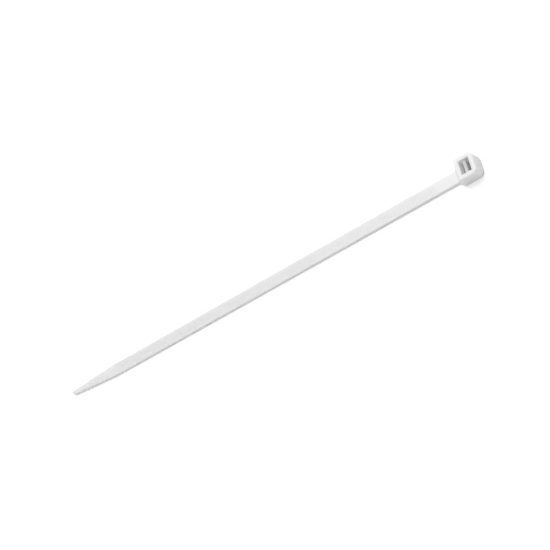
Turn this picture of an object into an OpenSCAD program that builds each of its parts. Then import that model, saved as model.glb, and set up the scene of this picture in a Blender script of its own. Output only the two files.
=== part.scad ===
// Self-locking cable tie, moulded in one piece from white nylon.
// It lies on its toothed inner face. The head is at +X, the pointed tail at -X, and the
// smooth outer face is up. The origin is the middle of the slot where the tail enters it.

/* [Strap] */
// Overall length, from the tip of the tail to the far end of the head
tie_len = 150; // [90:1:300]
// Width of the strap
strap_w = 3.6; // [3.2:0.1:5]
// Thickness of the strap
strap_t = 1.2; // [1:0.05:1.6]
// Radius on the strap's outer edges
strap_edge_r = 0.3; // [0.1:0.05:0.45]
// Radius on the strap's inner edges, beside the teeth
strap_foot_r = 0.12; // [0.08:0.01:0.25]

/* [Rack of teeth] */
// Distance from one tooth to the next
tooth_pitch = 1; // [0.8:0.05:1.3]
// Depth of the hollows between the teeth, from the inner face
tooth_depth = 0.5; // [0.35:0.05:0.6]
// Distance that the tooth crests stay back from the inner face
crest_gap = 0.06; // [0.02:0.01:0.12]
// Length of the flat on each tooth's crest
crest_flat = 0.16; // [0.08:0.02:0.24]
// Lean of the steep face of a tooth
tooth_lean = 8; // [2:1:15]
// Width of the smooth rail on each side of the teeth
rail_w = 0.55; // [0.4:0.05:0.8]
// Smooth length of strap between the head and the first tooth
neck_len = 7; // [4:0.5:15]

/* [Tail] */
// Length over which the tail narrows, up to its tip
tail_len = 18; // [14:0.5:30]
// Length of the slender point at its end
point_len = 6.5; // [4:0.5:9]
// Width where the slender point begins
point_w = 2.1; // [1.6:0.1:2.6]
// Width at the end of the point
tip_w = 1.1; // [0.8:0.1:1.4]
// Radius on the two corners of that end
tip_r = 0.4; // [0.2:0.05:0.4]
// Rise of the inner face at the tip, which leaves the tip thinner
tip_rise = 0.4; // [0.2:0.05:0.6]
// Distance from one grip rib to the next
rib_pitch = 1.25; // [0.9:0.05:2]
// Depth of the grooves between the grip ribs
rib_depth = 0.25; // [0.15:0.05:0.35]

/* [Head] */
// Height of the head
head_h = 4.5; // [3.8:0.1:6]
// Thickness of the wall on each side of the slot
side_wall = 1.15; // [0.8:0.05:1.6]
// Thickness of the wall between the strap and the pawl
strap_wall = 1.2; // [0.8:0.05:2]
// Thickness of the far wall, which the strap bears on
far_wall = 1.25; // [0.9:0.05:2]
// Slope of the face that rises from the strap to the head
ramp_slope = 70; // [60:1:80]
// Radius between the strap and that face
ramp_foot_r = 0.8; // [0.4:0.1:1.2]
// Slope of the shoulders between the strap's sides and the head's
shoulder_slope = 46; // [40:1:60]
// Radius on the head's two far corners, seen from above
far_corner_r = 1.6; // [0.6:0.1:1.8]
// Radius on the head's other upright corners
shoulder_r = 0.6; // [0.3:0.1:0.9]
// Radius round the head's outer face
head_top_r = 0.45; // [0.2:0.05:0.6]
// Radius round the head's inner face
head_foot_r = 0.2; // [0.1:0.05:0.3]

/* [Slot and pawl] */
// Clearance for the strap's thickness in the slot
slot_gap_t = 0.35; // [0.25:0.05:0.5]
// Clearance on each side of the strap in the slot
slot_gap_w = 0.15; // [0.1:0.05:0.25]
// Width of the lead-in round the mouth of the slot
lead_in = 0.45; // [0.3:0.05:0.6]
// Thickness of the pawl behind its teeth
pawl_t = 0.62; // [0.5:0.02:0.8]
// Thickness of the living hinge at the pawl's root
hinge_t = 0.42; // [0.3:0.02:0.5]
// Height of the web that carries the hinge, from the inner face
web_h = 1; // [0.8:0.05:1.2]
// Space behind the pawl, into which it springs back
relief = 0.5; // [0.4:0.05:0.8]
// Space between the pawl and each side wall
pawl_gap = 0.2; // [0.12:0.02:0.3]
// Distance that the pawl's last tooth reaches into the slot
pawl_reach = 0.5; // [0.4:0.05:0.7]
// Height of the pawl's teeth
pawl_tooth_h = 0.32; // [0.25:0.01:0.4]
// Distance of the pawl's tip below the head's outer face
pawl_drop = 0.55; // [0.3:0.05:0.9]

/* [Hidden] */
// Flat faces along each rounded corner
arc_steps = 6;
// Steps of a whole turn in which the head's far corners are swept
sweep_steps = 64;
// Depth by which a shape runs on into its neighbour
lap = 0.25;
// Reach of a cutting shape past what it cuts
past = 1;
// Slot: its passage for the strap, and the hollow for the pawl beside it
slot_t = strap_t + slot_gap_t;
slot_w = strap_w + 2 * slot_gap_w;
slot_near_x = -slot_t / 2;
slot_far_x = slot_t / 2;
hollow_x = slot_near_x - pawl_tooth_h - pawl_t - relief;
// Head: its outer face runs from head_near_x to head_far_x
head_w = slot_w + 2 * side_wall;
head_near_x = hollow_x - strap_wall;
head_far_x = slot_far_x + far_wall;
ramp_foot_x = head_near_x - (head_h - strap_t) / tan(ramp_slope);
shoulder_x = ramp_foot_x - ramp_foot_r * tan(ramp_slope / 2);
shoulder_len = (head_w - strap_w) / 2 / tan(shoulder_slope);
// Strap: where its teeth start and end, and where its tail begins
tip_x = head_far_x - tie_len;
tail_x = tip_x + tail_len;
point_x = tip_x + point_len;
rack_x = shoulder_x - neck_len;
rack_w = strap_w - 2 * rail_w;
steep_dx = (tooth_depth - crest_gap) * tan(tooth_lean);
tooth_count = floor((rack_x - tail_x) / tooth_pitch);
rib_count = floor((tail_x - point_x) / rib_pitch);
// Pawl: its tip, and the lean of the line that its teeth reach
pawl_tip_z = head_h - pawl_drop;
pawl_lean = pawl_reach / (pawl_tip_z - web_h);
pawl_teeth = floor((pawl_tip_z - web_h - pawl_t) / tooth_pitch);
pawl_w = slot_w - 2 * pawl_gap;

function unit(v) = v / norm(v);

// Points of the arc that rounds the corner b of the path a, b, c by radius r
function corner(a, b, c, r) = let (
    u = unit(a - b),
    v = unit(c - b),
    half = acos(u * v) / 2,
    start = b + u * r / tan(half),
    centre = b + unit(u + v) * r / sin(half),
    turn = sign(cross(b - a, c - b)) * (180 - 2 * half),
    spoke = start - centre
) [
    for (i = [0 : arc_steps])
        let (t = turn * i / arc_steps)
        centre + [
            spoke[0] * cos(t) - spoke[1] * sin(t),
            spoke[0] * sin(t) + spoke[1] * cos(t)
        ]
];

// Outline through corners of the form [x, y, radius]
function rounded(path) = let (n = len(path)) [
    for (i = [0 : n - 1])
        let (a = path[(i + n - 1) % n], b = path[i], c = path[(i + 1) % n])
        each b[2] > 0
            ? corner([a[0], a[1]], [b[0], b[1]], [c[0], c[1]], b[2])
            : [[b[0], b[1]]]
];

// Height of the tail's inner face, which rises to the tip
function tail_floor(x) = tip_rise * (tail_x - x) / tail_len;

// Line that the tips of the pawl's teeth touch
function pawl_front(z) = slot_near_x + (z - web_h) * pawl_lean;

// Outline in X and Z, made w wide across the tie
module across(w) {
    rotate([90, 0, 0])
        linear_extrude(w, center = true)
            children();
}

// Outline in Y and Z, drawn out along the tie from x0 to x1, or mirrored and drawn back where
// x1 is the lower. It starts exactly at x0, so that is the end that meets a neighbour's face
module along(x0, x1) {
    translate([x0, 0, 0])
        rotate([90, 0, x1 < x0 ? -90 : 90])
            linear_extrude(abs(x1 - x0))
                children();
}

// Straight length of strap from x0 to x1, with its long edges rounded
module straight(x0, x1) {
    along(x0, x1)
        polygon(rounded([
            [-strap_w / 2, 0, strap_foot_r],
            [strap_w / 2, 0, strap_foot_r],
            [strap_w / 2, strap_t, strap_edge_r],
            [-strap_w / 2, strap_t, strap_edge_r]
        ]));
}

// All that lies inside a slanting side of the strap, which passes the point x, y. Its profile
// is narrowed by the slant, so that a cut straight across it has the strap's own profile
module slanting_side(x, y, angle) {
    translate([x, y, 0])
        rotate([0, 0, angle])
            along(-tail_len, 2 * tail_len)
                polygon([
                    for (p = rounded([
                        [-tail_len, 0, 0],
                        [0, 0, strap_foot_r],
                        [0, strap_t, strap_edge_r],
                        [-tail_len, strap_t, 0]
                    ]))
                        [p[0] * cos(angle), p[1]]
                ]);
}

// Block that holds any length of the tail, from x = 0 on
module tail_block() {
    translate([0, -strap_w, 0])
        cube([tail_len, 2 * strap_w, strap_t]);
}

// Length of strap that widens from w0 at x0 to w1 at x1
module taper(x0, w0, x1, w1) {
    angle = atan((w1 - w0) / 2 / (x1 - x0));
    intersection() {
        slanting_side(x0, w0 / 2, angle);
        mirror([0, 1, 0])
            slanting_side(x0, w0 / 2, angle);
        translate([x0, 0, 0])
            tail_block();
        translate([x1, 0, 0])
            mirror([1, 0, 0])
                tail_block();
    }
}

// Slender end of the tail as seen from above, with the corners of its tip rounded. Its sides
// run on past the point, so that only the taper ends there
module point_plan() {
    linear_extrude(strap_t)
        polygon(rounded([
            [tip_x, -tip_w / 2, tip_r],
            [point_x + point_len, tip_w / 2 - point_w, 0],
            [point_x + point_len, point_w - tip_w / 2, 0],
            [tip_x, tip_w / 2, tip_r]
        ]));
}

// Plain strap, narrowed at its tail and again to the slender point
module strap_blank() {
    straight(tail_x, hollow_x - strap_wall / 2);
    taper(point_x, point_w, tail_x, strap_w);
    intersection() {
        taper(tip_x, tip_w, point_x, point_w);
        point_plan();
    }
}

// Hollows between the teeth: steep faces look to the head, ramps fall to the tail
module rack_cut() {
    across(rack_w)
        polygon([
            [rack_x + tooth_depth, -past],
            [rack_x + tooth_depth, 0],
            for (i = [0 : tooth_count - 1])
                let (x = rack_x - i * tooth_pitch)
                each [
                    [x + steep_dx, tooth_depth],
                    [x, crest_gap],
                    [x - crest_flat, crest_gap]
                ],
            [rack_x - tooth_count * tooth_pitch, tooth_depth],
            [rack_x - tooth_count * tooth_pitch - tooth_depth, 0],
            [rack_x - tooth_count * tooth_pitch - tooth_depth, -past]
        ]);
}

// Rising inner face of the tail, with its grip ribs
module tail_cut() {
    across(strap_w + past)
        polygon([
            [tail_x, -past],
            for (i = [0 : rib_count - 1])
                let (x = tail_x - i * rib_pitch)
                each [
                    [x, tail_floor(x)],
                    [x - rib_pitch / 2, tail_floor(x) + rib_depth]
                ],
            [tail_x - rib_count * rib_pitch, tail_floor(tail_x - rib_count * rib_pitch)],
            [tip_x - past, tail_floor(tip_x - past)],
            [tip_x - past, -past]
        ]);
}

// Section of the head's far end, from the middle of its rounded corners outwards
module far_section() {
    polygon(rounded([
        [0, 0, 0],
        [far_corner_r, 0, head_foot_r],
        [far_corner_r, head_h, head_top_r],
        [0, head_h, 0]
    ]));
}

// Block with all its outer edges rounded, and the edges of its far corners swept round
module head_block() {
    half = head_w / 2;
    corner_x = head_far_x - far_corner_r;
    corner_y = half - far_corner_r;
    along(corner_x, shoulder_x - lap)
        polygon(rounded([
            [-half, 0, head_foot_r],
            [half, 0, head_foot_r],
            [half, head_h, head_top_r],
            [-half, head_h, head_top_r]
        ]));
    translate([corner_x, 0, 0])
        across(2 * corner_y)
            far_section();
    for (side = [-1, 1])
        translate([corner_x, side * corner_y, 0])
            rotate([0, 0, side < 0 ? -90 : 0])
                rotate_extrude(angle = 90, $fn = sweep_steps)
                    far_section();
}

// Head as seen from above: shoulders that spread from the strap to the head's sides
module head_plan() {
    half = head_w / 2;
    full_x = shoulder_x + shoulder_len;
    linear_extrude(head_h)
        polygon(rounded([
            [shoulder_x, -strap_w / 2, 0],
            [full_x, -half, shoulder_r],
            [head_far_x, -half, 0],
            [head_far_x, half, 0],
            [full_x, half, shoulder_r],
            [shoulder_x, strap_w / 2, 0]
        ]));
}

// Head as seen from the side: the face that rises from the strap to the outer face
module head_side() {
    across(head_w)
        polygon(rounded([
            [shoulder_x - lap, 0, 0],
            [head_far_x, 0, 0],
            [head_far_x, head_h, 0],
            [head_near_x, head_h, head_top_r],
            [ramp_foot_x, strap_t, ramp_foot_r],
            [shoulder_x - lap, strap_t, 0]
        ]));
}

module head_blank() {
    intersection() {
        head_block();
        head_plan();
        head_side();
    }
}

// Passage for the strap, and the hollow for the pawl, which opens at the outer face
module slot_cut() {
    translate([slot_near_x, -slot_w / 2, -past])
        cube([slot_t, slot_w, head_h + 2 * past]);
    translate([hollow_x, -slot_w / 2, web_h])
        cube([slot_far_x - hollow_x, slot_w, head_h]);
    lead_in_cut();
}

// Four-sided funnel round the mouth of the slot, in the inner face
module lead_in_cut() {
    intersection() {
        across(slot_w + 2 * lead_in)
            polygon([
                [slot_near_x - lead_in - past, -past],
                [slot_far_x + lead_in + past, -past],
                [slot_far_x, lead_in],
                [slot_near_x, lead_in]
            ]);
        along(slot_near_x - lead_in, slot_far_x + lead_in)
            polygon([
                [-slot_w / 2 - lead_in - past, -past],
                [slot_w / 2 + lead_in + past, -past],
                [slot_w / 2, lead_in],
                [-slot_w / 2, lead_in]
            ]);
    }
}

// Sprung pawl: it stands on its living hinge and leans into the slot
module pawl() {
    across(pawl_w)
        polygon([
            [slot_near_x, web_h - lap],
            [slot_near_x, web_h],
            for (i = [pawl_teeth - 1 : -1 : 0])
                let (z = pawl_tip_z - i * tooth_pitch)
                each [
                    [pawl_front(z - tooth_pitch) - pawl_tooth_h, z - tooth_pitch + steep_dx],
                    [pawl_front(z), z]
                ],
            [pawl_front(pawl_tip_z) - pawl_tooth_h - pawl_t, pawl_tip_z - steep_dx],
            [slot_near_x - pawl_tooth_h - pawl_t, web_h + pawl_t],
            [slot_near_x - hinge_t, web_h],
            [slot_near_x - hinge_t, web_h - lap]
        ]);
}

module cable_tie() {
    color("whitesmoke") {
        difference() {
            union() {
                strap_blank();
                head_blank();
            }
            rack_cut();
            tail_cut();
            slot_cut();
        }
        pawl();
    }
}

cable_tie();
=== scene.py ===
import math

import bmesh
import bpy
from mathutils import Matrix, Vector


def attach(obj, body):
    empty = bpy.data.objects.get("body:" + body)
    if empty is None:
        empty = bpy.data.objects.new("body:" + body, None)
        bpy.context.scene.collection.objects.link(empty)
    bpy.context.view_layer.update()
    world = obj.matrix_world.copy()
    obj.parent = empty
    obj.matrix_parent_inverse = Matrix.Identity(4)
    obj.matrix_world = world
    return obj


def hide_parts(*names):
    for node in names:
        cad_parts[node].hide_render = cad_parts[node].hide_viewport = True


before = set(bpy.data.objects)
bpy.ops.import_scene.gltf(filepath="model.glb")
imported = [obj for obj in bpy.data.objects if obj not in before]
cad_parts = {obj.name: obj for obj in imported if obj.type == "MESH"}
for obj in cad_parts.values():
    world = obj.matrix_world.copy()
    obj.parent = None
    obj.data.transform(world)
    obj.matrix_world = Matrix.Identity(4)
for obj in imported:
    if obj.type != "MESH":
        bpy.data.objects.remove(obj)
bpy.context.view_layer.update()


# The camera stands at the photograph's angle: the head comes towards it and points up to the
# right, the tail goes away down to the left. It looks down on the smooth outer face and sees
# one side of the strap and the far end of the head.
towards_camera = Vector((0.5, -0.4, 0.77)).normalized()
strap_slope_in_picture = math.radians(29.5)
camera_distance = 0.384
camera_target = Vector((-0.0662, 0.0014, 0.0007))
strap_in_picture = (Vector((1, 0, 0)) - towards_camera.x * towards_camera).normalized()
across_strap_in_picture = towards_camera.cross(strap_in_picture)
picture_right = (
    math.cos(strap_slope_in_picture) * strap_in_picture
    - math.sin(strap_slope_in_picture) * across_strap_in_picture
)
picture_up = towards_camera.cross(picture_right)
camera_turn = Matrix((picture_right, picture_up, towards_camera)).transposed()
bpy.ops.object.camera_add(
    location=camera_target + camera_distance * towards_camera,
    rotation=camera_turn.to_euler(),
)
camera = bpy.context.object
camera.name = "photo_camera"
camera.data.lens = 91
camera.data.clip_start = 0.01
camera.data.clip_end = 20
bpy.context.scene.camera = camera


# Two soft studio lamps: a large one nearly overhead, on the picture's upper left, and a weak
# one low on the right that keeps the side of the strap from going dark. The room is white to
# the camera and to reflections, and a dim pale grey to everything that it lights.
lamps_point_at = Vector((-0.07, 0, 0))
room_white = (1, 1, 1, 1)
room_seen_level = 1
room_light_level = 0.42


def aim_softbox(name, side, width, watts, place):
    aim = (Vector(place) - lamps_point_at).to_track_quat("Z", "Y")
    bpy.ops.object.light_add(type="AREA", location=place, rotation=aim.to_euler())
    softbox = bpy.context.object
    softbox.name = name
    softbox.data.shape = "RECTANGLE"
    softbox.data.size = side
    softbox.data.size_y = width
    softbox.data.energy = watts


def put(tree, kind, **settings):
    made = tree.nodes.new(kind)
    for setting, value in settings.items():
        setattr(made, setting, value)
    return made


def reckon(tree, operation, *terms):
    made = put(tree, "ShaderNodeMath", operation=operation)
    for number, term in enumerate(terms):
        if isinstance(term, (int, float)):
            made.inputs[number].default_value = term
        else:
            tree.links.new(term, made.inputs[number])
    return made.outputs[0]


def seen_or_mirrored(tree):
    rays = put(tree, "ShaderNodeLightPath").outputs
    in_view = reckon(tree, "MAXIMUM", rays["Is Camera Ray"], rays["Is Glossy Ray"])
    return reckon(tree, "MAXIMUM", in_view, rays["Is Transmission Ray"])


aim_softbox("key_softbox", side=0.9, width=0.7, watts=7.0, place=(-0.02, 0.42, 0.95))
aim_softbox("fill_softbox", side=0.8, width=0.5, watts=1.4, place=(0.55, -0.75, 0.45))

room = bpy.data.worlds.new("white_room")
bpy.context.scene.world = room
room.use_nodes = True
room_tree = room.node_tree
room_tree.nodes.clear()
room_light = put(room_tree, "ShaderNodeBackground")
room_light.inputs["Color"].default_value = room_white
room_light.inputs["Strength"].default_value = room_light_level
room_seen = put(room_tree, "ShaderNodeBackground")
room_seen.inputs["Color"].default_value = room_white
room_seen.inputs["Strength"].default_value = room_seen_level
room_mix = put(room_tree, "ShaderNodeMixShader")
room_out = put(room_tree, "ShaderNodeOutputWorld")
room_tree.links.new(seen_or_mirrored(room_tree), room_mix.inputs["Fac"])
room_tree.links.new(room_light.outputs[0], room_mix.inputs[1])
room_tree.links.new(room_seen.outputs[0], room_mix.inputs[2])
room_tree.links.new(room_mix.outputs[0], room_out.inputs["Surface"])


# The floor is a plain white table top under the tie. It takes the tie's soft shadow, and a
# little added white, in what is seen or mirrored, brings the rest of it up to the white room.
table_side = 1.2
gap_under_tie = 0.00001
table_paint_white = (0.82, 0.82, 0.82, 1)
added_white = (1, 1, 1, 1)
added_level = 0.36
bpy.ops.object.select_all(action="DESELECT")
bpy.ops.mesh.primitive_plane_add(size=table_side, location=(0, 0, -gap_under_tie))
floor = bpy.context.object
floor.name = "white_table_top"
table_white = bpy.data.materials.new("white_table")
table_white.use_nodes = True
table_tree = table_white.node_tree
table_tree.nodes.clear()
table_paint = put(table_tree, "ShaderNodeBsdfDiffuse")
table_paint.inputs["Color"].default_value = table_paint_white
table_glow = put(table_tree, "ShaderNodeEmission")
table_glow.inputs["Color"].default_value = added_white
glow_level = reckon(table_tree, "MULTIPLY", seen_or_mirrored(table_tree), added_level)
table_sum = put(table_tree, "ShaderNodeAddShader")
table_out = put(table_tree, "ShaderNodeOutputMaterial")
table_tree.links.new(glow_level, table_glow.inputs["Strength"])
table_tree.links.new(table_paint.outputs[0], table_sum.inputs[0])
table_tree.links.new(table_glow.outputs[0], table_sum.inputs[1])
table_tree.links.new(table_sum.outputs[0], table_out.inputs["Surface"])
floor.data.materials.append(table_white)


# The tie is one moulding of white nylon: strap, teeth, head, pawl and tail leave the mould
# together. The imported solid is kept, its long faces are cut across at every tooth, and each
# sharp edge gets the small round of a mould, wider on the head than on the teeth.
slot_middle_x = 0
shoulder_x = -0.00518
rack_start_x = -0.012176
rack_end_x = -0.129176
tooth_pitch = 0.001
ramp_middle_share = 0.58
merge_distance = 0.000002
least_run_along = 0.000001
flat_angle = math.radians(0.1)
sharp_edge_angle = math.radians(40)
shortest_rounded_edge = 0.00012
crook_half_length = 0.00012
crook_inner_y = 0.0015
edge_round_width = 0.00006
teeth_share_of_round = 0.4
tie = bpy.data.objects.new("moulded_tie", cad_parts["cable_tie"].data.copy())
bpy.context.scene.collection.objects.link(tie)
tie.data.materials.clear()
bpy.ops.object.select_all(action="DESELECT")
tie.select_set(True)
bpy.context.view_layer.objects.active = tie
bpy.ops.object.mode_set(mode="EDIT")
bpy.ops.mesh.select_mode(type="EDGE")
bpy.ops.mesh.select_all(action="SELECT")
bpy.ops.mesh.remove_doubles(threshold=merge_distance)
cuts_x = [slot_middle_x]
tooth_x = rack_start_x - ramp_middle_share * tooth_pitch
while tooth_x > rack_end_x:
    cuts_x.append(tooth_x)
    tooth_x = tooth_x - tooth_pitch
for cut_x in cuts_x:
    bpy.ops.mesh.select_all(action="SELECT")
    bpy.ops.mesh.bisect(plane_co=(cut_x, 0, 0), plane_no=(1, 0, 0))
bpy.ops.mesh.select_all(action="DESELECT")
tie_edges = bmesh.from_edit_mesh(tie.data)
for edge in tie_edges.edges:
    runs_along = abs(edge.verts[0].co.x - edge.verts[1].co.x) > least_run_along
    edge.select = runs_along and edge.calc_face_angle() < flat_angle
bmesh.update_edit_mesh(tie.data)
bpy.ops.mesh.dissolve_edges(use_verts=True)
tie_edges = bmesh.from_edit_mesh(tie.data)
round_share = tie_edges.edges.layers.float.new("bevel_weight_edge")
for edge in tie_edges.edges:
    ends = [vert.co for vert in edge.verts]
    on_head = ends[0].x > shoulder_x
    in_crook = any(
        abs(end.x - shoulder_x) < crook_half_length and abs(end.y) > crook_inner_y
        for end in ends
    )
    on_tail = min(end.x for end in ends) < rack_end_x - tooth_pitch
    is_sharp = edge.calc_face_angle() > sharp_edge_angle
    is_long = edge.calc_length() > shortest_rounded_edge
    if is_sharp and is_long and not in_crook and not on_tail:
        edge[round_share] = 1 if on_head else teeth_share_of_round
bmesh.update_edit_mesh(tie.data)
bpy.ops.object.mode_set(mode="OBJECT")
edge_round = tie.modifiers.new("mould_edge_round", "BEVEL")
edge_round.width = edge_round_width
edge_round.segments = 2
edge_round.limit_method = "WEIGHT"
edge_round.use_clamp_overlap = False
bpy.ops.object.modifier_apply(modifier=edge_round.name)
bpy.ops.object.shade_smooth_by_angle(angle=sharp_edge_angle)
flat_faces = tie.modifiers.new("flat_faces_stay_flat", "WEIGHTED_NORMAL")
flat_faces.keep_sharp = True
bpy.ops.object.modifier_apply(modifier=flat_faces.name)


# Nylon in the bulk is milky: it is a little clearer where it flowed fast and a little denser
# where it stood, in clouds drawn out along the strap. This is put into each finish of the
# tie, which adds the skin that its part of the mould gives it.
clouds_drawn_out = (0.22, 1, 1)
streaks_drawn_out = (0.035, 1, 1)
streak_scale = 2600
clear_nylon = (0.79, 0.79, 0.79, 1)
dense_nylon = (0.885, 0.885, 0.885, 1)
noise_middle = 0.5
usual_density = 0.6
streaks_in_gloss = 0.14
clouds_in_gloss = 0.10
clouds_in_height = 0.25
milky_nylon = bpy.data.node_groups.new("milky_nylon", "ShaderNodeTree")
for name, kind in (
    ("Place", "NodeSocketVector"),
    ("Cloud Scale", "NodeSocketFloat"),
    ("Cloud Depth", "NodeSocketFloat"),
    ("Streak Depth", "NodeSocketFloat"),
    ("Roughness", "NodeSocketFloat"),
    ("Grain Scale", "NodeSocketFloat"),
    ("Grain Height", "NodeSocketFloat"),
):
    milky_nylon.interface.new_socket(name, in_out="INPUT", socket_type=kind)
for name, kind in (
    ("Tone", "NodeSocketColor"),
    ("Roughness", "NodeSocketFloat"),
    ("Height", "NodeSocketFloat"),
):
    milky_nylon.interface.new_socket(name, in_out="OUTPUT", socket_type=kind)
given = put(milky_nylon, "NodeGroupInput")
result = put(milky_nylon, "NodeGroupOutput")
drawn_out = put(milky_nylon, "ShaderNodeMapping")
drawn_out.inputs["Scale"].default_value = clouds_drawn_out
clouds = put(milky_nylon, "ShaderNodeTexNoise")
clouds.inputs["Detail"].default_value = 3
clouds.inputs["Roughness"].default_value = 0.55
pulled = put(milky_nylon, "ShaderNodeMapping")
pulled.inputs["Scale"].default_value = streaks_drawn_out
streaks = put(milky_nylon, "ShaderNodeTexNoise")
streaks.inputs["Scale"].default_value = streak_scale
streaks.inputs["Detail"].default_value = 2
grain = put(milky_nylon, "ShaderNodeTexNoise")
grain.inputs["Detail"].default_value = 4
grain.inputs["Roughness"].default_value = 0.6
tone = put(milky_nylon, "ShaderNodeMix", data_type="RGBA")
tone.inputs["A"].default_value = clear_nylon
tone.inputs["B"].default_value = dense_nylon
link = milky_nylon.links.new
link(given.outputs["Place"], drawn_out.inputs["Vector"])
link(given.outputs["Place"], pulled.inputs["Vector"])
link(given.outputs["Place"], grain.inputs["Vector"])
link(drawn_out.outputs[0], clouds.inputs["Vector"])
link(pulled.outputs[0], streaks.inputs["Vector"])
link(given.outputs["Cloud Scale"], clouds.inputs["Scale"])
link(given.outputs["Grain Scale"], grain.inputs["Scale"])
off_middle = reckon(milky_nylon, "SUBTRACT", clouds.outputs["Fac"], noise_middle)
streak_off_middle = reckon(milky_nylon, "SUBTRACT", streaks.outputs["Fac"], noise_middle)
cloud_part = reckon(milky_nylon, "MULTIPLY", off_middle, given.outputs["Cloud Depth"])
streak_part = reckon(milky_nylon, "MULTIPLY", streak_off_middle, given.outputs["Streak Depth"])
both_parts = reckon(milky_nylon, "ADD", cloud_part, streak_part)
density = reckon(milky_nylon, "ADD", both_parts, usual_density)
link(density, tone.inputs["Factor"])
link(tone.outputs["Result"], result.inputs["Tone"])
streak_gloss = reckon(milky_nylon, "MULTIPLY", streak_off_middle, streaks_in_gloss)
cloud_gloss = reckon(milky_nylon, "MULTIPLY", off_middle, clouds_in_gloss)
both_glosses = reckon(milky_nylon, "ADD", streak_gloss, cloud_gloss)
skin_roughness = reckon(milky_nylon, "ADD", both_glosses, given.outputs["Roughness"])
link(skin_roughness, result.inputs["Roughness"])
grain_part = reckon(milky_nylon, "MULTIPLY", grain.outputs["Fac"], given.outputs["Grain Height"])
wave_part = reckon(milky_nylon, "MULTIPLY", clouds.outputs["Fac"], clouds_in_height)
link(reckon(milky_nylon, "ADD", grain_part, wave_part), result.inputs["Height"])

relief_depth = 0.00001
finish_number = {}


def nylon_finish(name, skin):
    finish = bpy.data.materials.new(name)
    finish.use_nodes = True
    tree = finish.node_tree
    shader = tree.nodes["Principled BSDF"]
    shader.inputs["IOR"].default_value = 1.53
    shader.inputs["Subsurface Weight"].default_value = 0.8
    shader.inputs["Subsurface Radius"].default_value = (1, 1, 1)
    shader.inputs["Subsurface Scale"].default_value = 0.0018
    spot = put(tree, "ShaderNodeTexCoord").outputs["Object"]
    body = put(tree, "ShaderNodeGroup", node_tree=milky_nylon)
    for socket, value in skin.items():
        body.inputs[socket].default_value = value
    relief = put(tree, "ShaderNodeBump")
    relief.inputs["Distance"].default_value = relief_depth
    tree.links.new(spot, body.inputs["Place"])
    tree.links.new(body.outputs["Tone"], shader.inputs["Base Color"])
    tree.links.new(body.outputs["Roughness"], shader.inputs["Roughness"])
    tree.links.new(body.outputs["Height"], relief.inputs["Height"])
    tree.links.new(relief.outputs["Normal"], shader.inputs["Normal"])
    finish_number[name] = len(tie.data.materials)
    tie.data.materials.append(finish)
    return tree, spot, body, relief, shader


# The strap's outer face and sides come from a polished cavity and have a soft gloss. Over the
# teeth the outer face gets painted shade: faint darker bars in its colour, one over each hollow,
# for the light that passes through the thinner nylon there, and a slight dip in its relief.
# Flash runs along each side, and a pin left its ring under the neck.
half_rack_width = 0.00125
rack_side_blur = 0.0002
outer_face_level = 0.00115
# Painted shade: this tone darkens the outer face in bars over the hollows, for the light that
# passes through the thinner nylon there.
painted_shade_bar_tone = (0.955, 0.955, 0.955, 1)
painted_shade_bar_strength = 0.8
bar_height = -0.35
parting_height = 0.0005
flash_fade = (0.00004, 0.00001)
flash_height = 1.6
pin_centre = (-0.0087, 0, 0)
pin_radius = 0.0009
pin_ring_fade = (0.00008, 0.00002)
pin_ring_height = -1.8


def fade(tree, distance, gone_and_full):
    made = put(tree, "ShaderNodeMapRange", interpolation_type="SMOOTHSTEP")
    gone_at, full_at = gone_and_full
    made.inputs["From Min"].default_value = gone_at
    made.inputs["From Max"].default_value = full_at
    tree.links.new(distance, made.inputs["Value"])
    return made.outputs[0]


def flash_line(tree, up):
    off_parting = reckon(tree, "ABSOLUTE", reckon(tree, "SUBTRACT", up, parting_height))
    return reckon(tree, "MULTIPLY", fade(tree, off_parting, flash_fade), flash_height)


def distance_from(tree, spot, centre):
    measured = put(tree, "ShaderNodeVectorMath", operation="DISTANCE")
    measured.inputs[1].default_value = centre
    tree.links.new(spot, measured.inputs[0])
    return measured.outputs["Value"]


def ring(tree, distance, radius, ring_fade, ring_height):
    off_ring = reckon(tree, "ABSOLUTE", reckon(tree, "SUBTRACT", distance, radius))
    return reckon(tree, "MULTIPLY", fade(tree, off_ring, ring_fade), ring_height)


tree, spot, body, relief, shader = nylon_finish(
    "polished_strap",
    {
        "Cloud Scale": 260,
        "Cloud Depth": 0.9,
        "Streak Depth": 0.35,
        "Roughness": 0.34,
        "Grain Scale": 9000,
        "Grain Height": 0.12,
    },
)
axes = put(tree, "ShaderNodeSeparateXYZ")
tree.links.new(spot, axes.inputs[0])
along_strap, across_strap, up = axes.outputs
past_rack_start = reckon(tree, "SUBTRACT", along_strap, rack_start_x)
turns = reckon(tree, "MULTIPLY", past_rack_start, 2 * math.pi / tooth_pitch)
bars = reckon(tree, "MULTIPLY", reckon(tree, "ADD", reckon(tree, "COSINE", turns), 1), 0.5)
behind_start = reckon(tree, "LESS_THAN", along_strap, rack_start_x)
before_end = reckon(tree, "GREATER_THAN", along_strap, rack_end_x)
over_rack = reckon(tree, "MULTIPLY", behind_start, before_end)
between_rails = fade(
    tree,
    reckon(tree, "ABSOLUTE", across_strap),
    (half_rack_width + rack_side_blur, half_rack_width - rack_side_blur),
)
on_outer_face = reckon(tree, "GREATER_THAN", up, outer_face_level)
over_hollows_painted_shade_and_dip = reckon(
    tree,
    "MULTIPLY",
    reckon(tree, "MULTIPLY", bars, over_rack),
    reckon(tree, "MULTIPLY", between_rails, on_outer_face),
)
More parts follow.
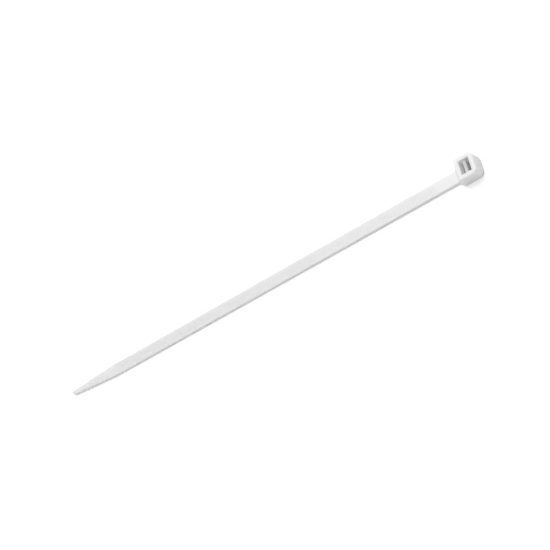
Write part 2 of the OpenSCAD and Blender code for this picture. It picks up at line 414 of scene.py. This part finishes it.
# Painted shade: the colour is multiplied down in bars over the teeth, for the light that goes
# through the thin nylon over each hollow.
painted_shade_bars = put(tree, "ShaderNodeMix", data_type="RGBA", blend_type="MULTIPLY")
painted_shade_bars.inputs["B"].default_value = painted_shade_bar_tone
tree.links.new(reckon(tree, "MULTIPLY", over_hollows_painted_shade_and_dip, painted_shade_bar_strength), painted_shade_bars.inputs["Factor"])
tree.links.new(body.outputs["Tone"], painted_shade_bars.inputs["A"])
tree.links.new(painted_shade_bars.outputs["Result"], shader.inputs["Base Color"])
sunk_bars = reckon(tree, "MULTIPLY", over_hollows_painted_shade_and_dip, bar_height)
from_pin = distance_from(tree, spot, pin_centre)
pin_ring = ring(tree, from_pin, pin_radius, pin_ring_fade, pin_ring_height)
bars_and_flash = reckon(tree, "ADD", sunk_bars, flash_line(tree, up))
marks = reckon(tree, "ADD", bars_and_flash, pin_ring)
tree.links.new(reckon(tree, "ADD", marks, body.outputs["Height"]), relief.inputs["Height"])


# The outside of the head comes from a spark-eroded cavity, which leaves it finely matt. The
# nylon was injected at the middle of its far end, where the broken runner leaves a small
# rough disc in a shallow ring, and the parting line runs round it at the strap's level.
gate_centre = (0.002025, 0, 0.0024)
gate_radius = 0.0004
gate_roughness_scale = 5200
gate_roughness_height = 4
gate_ring_radius = 0.00055
gate_ring_fade = (0.00012, 0.00002)
gate_ring_height = -1.6
tree, spot, body, relief, shader = nylon_finish(
    "matt_head",
    {
        "Cloud Scale": 320,
        "Cloud Depth": 0.8,
        "Streak Depth": 0.1,
        "Roughness": 0.47,
        "Grain Scale": 7000,
        "Grain Height": 1.0,
    },
)
axes = put(tree, "ShaderNodeSeparateXYZ")
tree.links.new(spot, axes.inputs[0])
from_gate = distance_from(tree, spot, gate_centre)
gate_ring = ring(tree, from_gate, gate_ring_radius, gate_ring_fade, gate_ring_height)
torn = put(tree, "ShaderNodeTexNoise")
torn.inputs["Scale"].default_value = gate_roughness_scale
tree.links.new(spot, torn.inputs["Vector"])
in_gate = reckon(tree, "LESS_THAN", from_gate, gate_radius)
torn_in_gate = reckon(tree, "MULTIPLY", torn.outputs["Fac"], in_gate)
torn_height = reckon(tree, "MULTIPLY", torn_in_gate, gate_roughness_height)
gate_marks = reckon(tree, "ADD", torn_height, gate_ring)
marks = reckon(tree, "ADD", gate_marks, flash_line(tree, axes.outputs["Z"]))
tree.links.new(reckon(tree, "ADD", marks, body.outputs["Height"]), relief.inputs["Height"])


# The teeth, the slot and the pawl come from steel that was cut to shape and left as it was,
# so they are duller and carry faint cutter lines straight across the strap. The slot and
# the pawl stand in shade, where most light is what comes through the walls behind them, and
# their copy of the nylon lets light in deeper than the rest of the tie, to lighten that shade.
cutter_line_scale = 2200
cutter_line_height = 0.25
for name, share_let_in, depth_let_in in (
    ("cut_steel_teeth", 0.8, 0.0018),
    ("cut_steel_slot_lightened", 1, 0.004),
):
    tree, spot, body, relief, shader = nylon_finish(
        name,
        {
            "Cloud Scale": 320,
            "Cloud Depth": 0.7,
            "Streak Depth": 0.0,
            "Roughness": 0.42,
            "Grain Scale": 12000,
            "Grain Height": 0.5,
        },
    )
    # The slot's copy lets light more than twice as deep into the nylon as the rest of the tie,
    # which lightens the shade in the slot and on the pawl.
    shader.inputs["Subsurface Weight"].default_value = share_let_in
    shader.inputs["Subsurface Scale"].default_value = depth_let_in
    cutter_lines = put(tree, "ShaderNodeTexWave", wave_type="BANDS", bands_direction="Z")
    cutter_lines.inputs["Scale"].default_value = cutter_line_scale
    cutter_lines.inputs["Distortion"].default_value = 0.6
    cutter_lines.inputs["Detail"].default_value = 1
    tree.links.new(spot, cutter_lines.inputs["Vector"])
    lines = reckon(tree, "MULTIPLY", cutter_lines.outputs["Fac"], cutter_line_height)
    tree.links.new(reckon(tree, "ADD", lines, body.outputs["Height"]), relief.inputs["Height"])


# Each face of the moulding takes the finish of the mould steel that shaped it: the inserts
# for the slot and the teeth first, then the cavity of the head, from the shoulder on, and
# last the long cavity of the strap and tail.
slot_back_x = -0.0024
slot_front_x = 0.0009
half_slot_width = 0.00212
slot_bottom = 0.0001
slot_top = 0.00447
rack_run_in = 0.0006
half_insert_width = 0.0013
insert_bottom = 0.00003
insert_top = 0.00062
for face in tie.data.polygons:
    x, y, z = face.center
    in_slot = (
        slot_back_x < x < slot_front_x
        and abs(y) < half_slot_width
        and slot_bottom < z < slot_top
    )
    in_rack = (
        x < rack_start_x + rack_run_in
        and abs(y) < half_insert_width
        and insert_bottom < z < insert_top
    )
    if in_slot:
        face.material_index = finish_number["cut_steel_slot_lightened"]
    elif in_rack:
        face.material_index = finish_number["cut_steel_teeth"]
    elif x > shoulder_x:
        face.material_index = finish_number["matt_head"]
    else:
        face.material_index = finish_number["polished_strap"]

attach(tie, "root")
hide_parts("cable_tie")


bpy.context.scene.view_settings.view_transform = "Standard"
